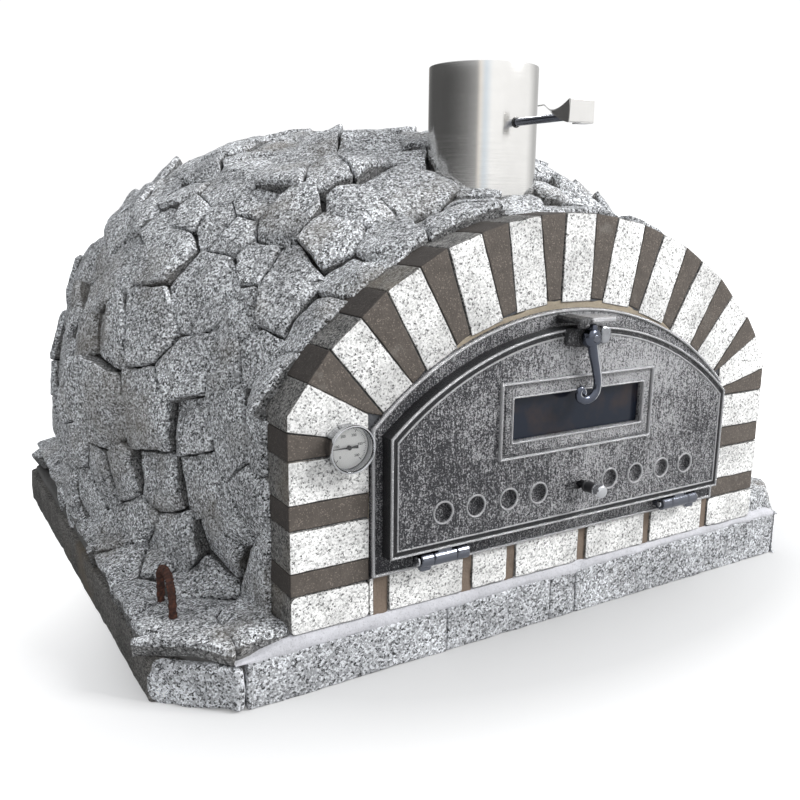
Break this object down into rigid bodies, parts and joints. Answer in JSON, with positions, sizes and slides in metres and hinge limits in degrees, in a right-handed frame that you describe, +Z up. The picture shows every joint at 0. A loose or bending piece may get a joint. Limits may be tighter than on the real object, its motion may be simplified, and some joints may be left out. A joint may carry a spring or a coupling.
{
  "type": "wood fired pizza oven",
  "caption": "Domed wood fired oven clad in split granite on a clipped slab, with an arch of light setts and dark bricks, a cast iron drop door, a dial thermometer and a flue with damper.",
  "frame": {"origin": "centre of the slab's underside", "axes": "+Z up, +Y from the door to the back, +X to the right of someone facing the door"},
  "size_m": [1.066, 1.118, 0.73],
  "materials": {
    "concrete": "rough cast",
    "granite": "split, speckled",
    "light_granite": "sawn, speckled",
    "dark_brick": "matte",
    "mortar": "trowelled",
    "sand_mortar": "trowelled",
    "insulation": "matte",
    "firebrick": "matte",
    "rusty_bar": "rusted",
    "cast_iron": "black with silver rubbed on",
    "glass": "polished",
    "bright_steel": "polished",
    "stainless": "brushed",
    "dial_enamel": "satin",
    "needle_paint": "satin"
  },
  "bodies": {
    "oven": {"base_slab": "concrete", "front_facing": "granite", "left_corner_facing": "granite", "right_corner_facing": "granite", "mortar_bed": "mortar", "ledge_stones": "granite", "floor_insulation": "insulation", "hearth_floor": "firebrick", "inner_dome": "firebrick", "throat_vault": "firebrick", "insulation_layer": "insulation", "dome_cladding": "granite", "left_pillar": "light_granite", "right_pillar": "light_granite", "sill_course": "light_granite", "mortar_collar": "sand_mortar", "arch_stone_1": "light_granite", "arch_stone_2": "light_granite", "arch_stone_3": "light_granite", "arch_stone_4": "light_granite", "arch_stone_5": "light_granite", "arch_stone_6": "light_granite", "arch_stone_7": "light_granite", "arch_stone_8": "light_granite", "arch_stone_9": "light_granite", "arch_stone_10": "light_granite", "arch_stone_11": "light_granite", "arch_brick_1": "dark_brick", "arch_brick_2": "dark_brick", "arch_brick_3": "dark_brick", "arch_brick_4": "dark_brick", "arch_brick_5": "dark_brick", "arch_brick_6": "dark_brick", "arch_brick_7": "dark_brick", "arch_brick_8": "dark_brick", "arch_brick_9": "dark_brick", "arch_brick_10": "dark_brick", "lifting_loop_front_left": "rusty_bar", "lifting_loop_front_right": "rusty_bar", "lifting_loop_rear_left": "rusty_bar", "lifting_loop_rear_right": "rusty_bar", "door_frame": "cast_iron", "latch_keeper": "cast_iron", "hinge_pin_left": "bright_steel", "hinge_pin_right": "bright_steel", "flue_pipe": "stainless", "thermometer_case": "stainless", "thermometer_dial": "dial_enamel", "thermometer_lens": "glass"},
    "door": {"door_panel": "cast_iron", "window_frame": "cast_iron", "window_glass": "glass", "latch_pin": "bright_steel"},
    "vent": {"vent_slider": "cast_iron", "vent_knob": "bright_steel"},
    "latch": {"latch_handle": "cast_iron"},
    "damper": {"damper_shaft": "bright_steel", "damper_plate": "stainless", "damper_handle": "stainless"},
    "needle": {"thermometer_needle": "needle_paint"}
  },
  "joints": [
    {"name": "door_drop", "type": "hinge", "parent": "oven", "child": "door", "pos_m": [0, -0.546, 0.14], "axis": [1, 0, 0], "range_deg": [0, 90]},
    {"name": "vent_slide", "type": "slide", "parent": "door", "child": "vent", "axis": [-1, 0, 0], "range_m": [0, 0.024]},
    {"name": "latch_turn", "type": "hinge", "parent": "door", "child": "latch", "pos_m": [0, -0.567, 0.39], "axis": [0, 1, 0], "range_deg": [-90, 90]},
    {"name": "damper_turn", "type": "hinge", "parent": "oven", "child": "damper", "pos_m": [0, -0.327, 0.654], "axis": [0, 1, 0], "range_deg": [0, 90]},
    {"name": "needle_turn", "type": "hinge", "parent": "oven", "child": "needle", "pos_m": [-0.321, -0.538, 0.288], "axis": [0, 1, 0], "range_deg": [-45, 225]}
  ]
}
